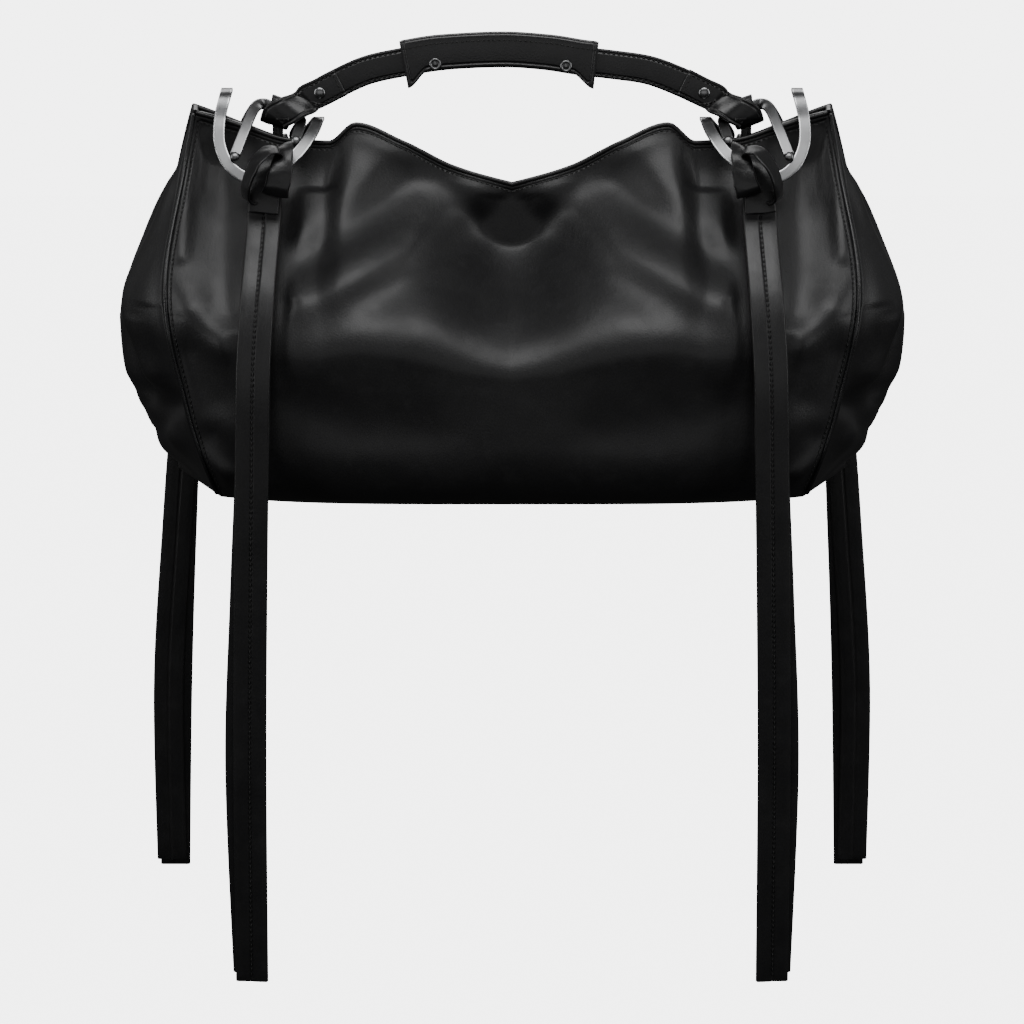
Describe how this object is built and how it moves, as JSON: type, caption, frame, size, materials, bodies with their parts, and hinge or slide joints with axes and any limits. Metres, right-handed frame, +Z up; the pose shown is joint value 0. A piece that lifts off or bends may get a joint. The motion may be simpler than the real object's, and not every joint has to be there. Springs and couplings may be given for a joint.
{
  "type": "handbag",
  "caption": "Slouchy wedge-shaped leather bag with a V-shaped mouth, a short top handle on steel saddle rings, and long straps knotted to the rings that hang below the base.",
  "frame": {"origin": "under the middle of the grip, where a hand or a hook holds the bag", "axes": "+X to the right of someone facing its front, +Y to its back, +Z up"},
  "size_m": [0.4726, 0.1784, 0.5419],
  "materials": {
    "black_leather": "satin, smooth grain",
    "brushed_steel": "brushed",
    "lining_cloth": "matt twill",
    "base_board": "matt"
  },
  "bodies": {
    "handle": {"handle_strap": "black_leather", "handle_end_left": "black_leather", "handle_end_right": "black_leather", "handle_rivet_left": "brushed_steel", "handle_rivet_right": "brushed_steel", "handle_rivet_cap_left": "brushed_steel", "handle_rivet_cap_right": "brushed_steel", "grip_cover": "black_leather", "grip_rivet_left": "brushed_steel", "grip_rivet_right": "brushed_steel"},
    "bag": {"front_panel": "black_leather", "back_panel": "black_leather", "side_gusset_left": "black_leather", "side_gusset_right": "black_leather", "base_panel": "black_leather", "base_board": "base_board", "lining_front": "lining_cloth", "lining_back": "lining_cloth", "seam_cord_front_left": "black_leather", "seam_cord_front_right": "black_leather", "seam_cord_back_left": "black_leather", "seam_cord_back_right": "black_leather", "front_rim_binding": "black_leather", "back_rim_binding": "black_leather", "snap_socket": "brushed_steel", "snap_stud": "brushed_steel", "handle_loop_left": "black_leather", "handle_loop_right": "black_leather", "anchor_tab_left": "black_leather", "anchor_tab_right": "black_leather"},
    "ring_left": {"ring_hoop_left": "brushed_steel", "ring_arch_front_left": "brushed_steel", "ring_arch_back_left": "brushed_steel"},
    "strap_front_left": {"knot_loop_front_left": "black_leather", "strap_front_left_outer_tail": "black_leather", "strap_front_left_inner_tail": "black_leather"},
    "strap_back_left": {"knot_loop_back_left": "black_leather", "strap_back_left_outer_tail": "black_leather", "strap_back_left_inner_tail": "black_leather"},
    "ring_right": {"ring_hoop_right": "brushed_steel", "ring_arch_front_right": "brushed_steel", "ring_arch_back_right": "brushed_steel"},
    "strap_front_right": {"knot_loop_front_right": "black_leather", "strap_front_right_outer_tail": "black_leather", "strap_front_right_inner_tail": "black_leather"},
    "strap_back_right": {"knot_loop_back_right": "black_leather", "strap_back_right_outer_tail": "black_leather", "strap_back_right_inner_tail": "black_leather"}
  },
  "joints": [
    {"name": "bag_swing", "type": "hinge", "parent": "handle", "child": "bag", "pos_m": [0, 0, -0.0175], "axis": [1, 0, 0], "range_deg": [-60, 60]},
    {"name": "ring_rock_left", "type": "hinge", "parent": "bag", "child": "ring_left", "pos_m": [-0.134, 0, -0.0235], "axis": [1, 0, 0], "range_deg": [-1, 1]},
    {"name": "strap_front_left_lift", "type": "hinge", "parent": "ring_left", "child": "strap_front_left", "pos_m": [-0.145, -0.0362, -0.0585], "axis": [-1, 0, 0], "range_deg": [0, 50]},
    {"name": "strap_back_left_lift", "type": "hinge", "parent": "ring_left", "child": "strap_back_left", "pos_m": [-0.145, 0.0362, -0.0585], "axis": [1, 0, 0], "range_deg": [0, 50]},
    {"name": "ring_rock_right", "type": "hinge", "parent": "bag", "child": "ring_right", "pos_m": [0.134, 0, -0.0235], "axis": [1, 0, 0], "range_deg": [-1, 1]},
    {"name": "strap_front_right_lift", "type": "hinge", "parent": "ring_right", "child": "strap_front_right", "pos_m": [0.145, -0.0362, -0.0585], "axis": [-1, 0, 0], "range_deg": [0, 50]},
    {"name": "strap_back_right_lift", "type": "hinge", "parent": "ring_right", "child": "strap_back_right", "pos_m": [0.145, 0.0362, -0.0585], "axis": [1, 0, 0], "range_deg": [0, 50]}
  ]
}
